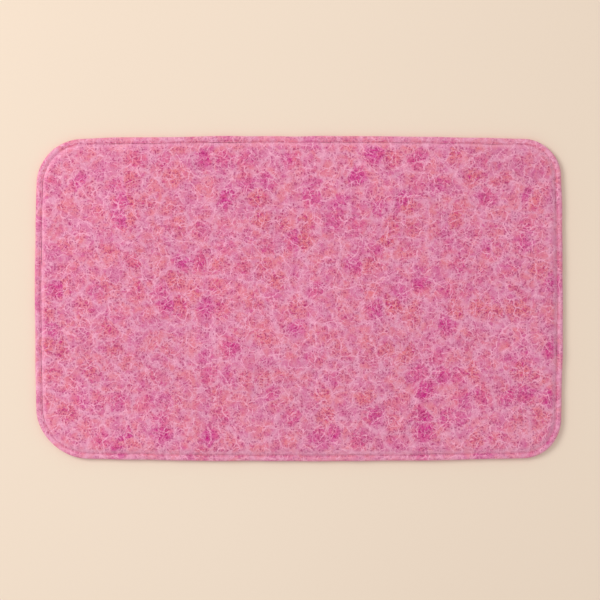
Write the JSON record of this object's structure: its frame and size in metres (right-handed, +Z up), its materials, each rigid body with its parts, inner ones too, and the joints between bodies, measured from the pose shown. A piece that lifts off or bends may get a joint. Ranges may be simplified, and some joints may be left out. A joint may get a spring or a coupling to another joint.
{
  "type": "bath mat",
  "caption": "Padded bath mat with a printed plush face, memory foam core, rubber-dotted underside and folded, stitched edge tape.",
  "frame": {"origin": "on the floor, under the middle of the mat's bounding box", "axes": "+X along the mat's long side, +Y across it, +Z up out of the printed face"},
  "size_m": [0.864, 0.532, 0.013],
  "materials": {
    "printed_plush": "short printed microfibre pile, mottled pink",
    "foam": "open-cell polyurethane foam",
    "backing": "plain woven polyester cloth",
    "grip_rubber": "satin thermoplastic rubber",
    "printed_tape": "printed microfibre tape, mottled pink",
    "thread": "spun polyester thread",
    "label": "blank satin ribbon"
  },
  "bodies": {
    "root": {"face_fabric": "printed_plush", "foam_core": "foam", "backing_cloth": "backing", "grip_layer": "grip_rubber", "edge_binding": "printed_tape", "needle_thread": "thread", "bobbin_thread": "thread", "care_label": "label"}
  },
  "joints": []
}
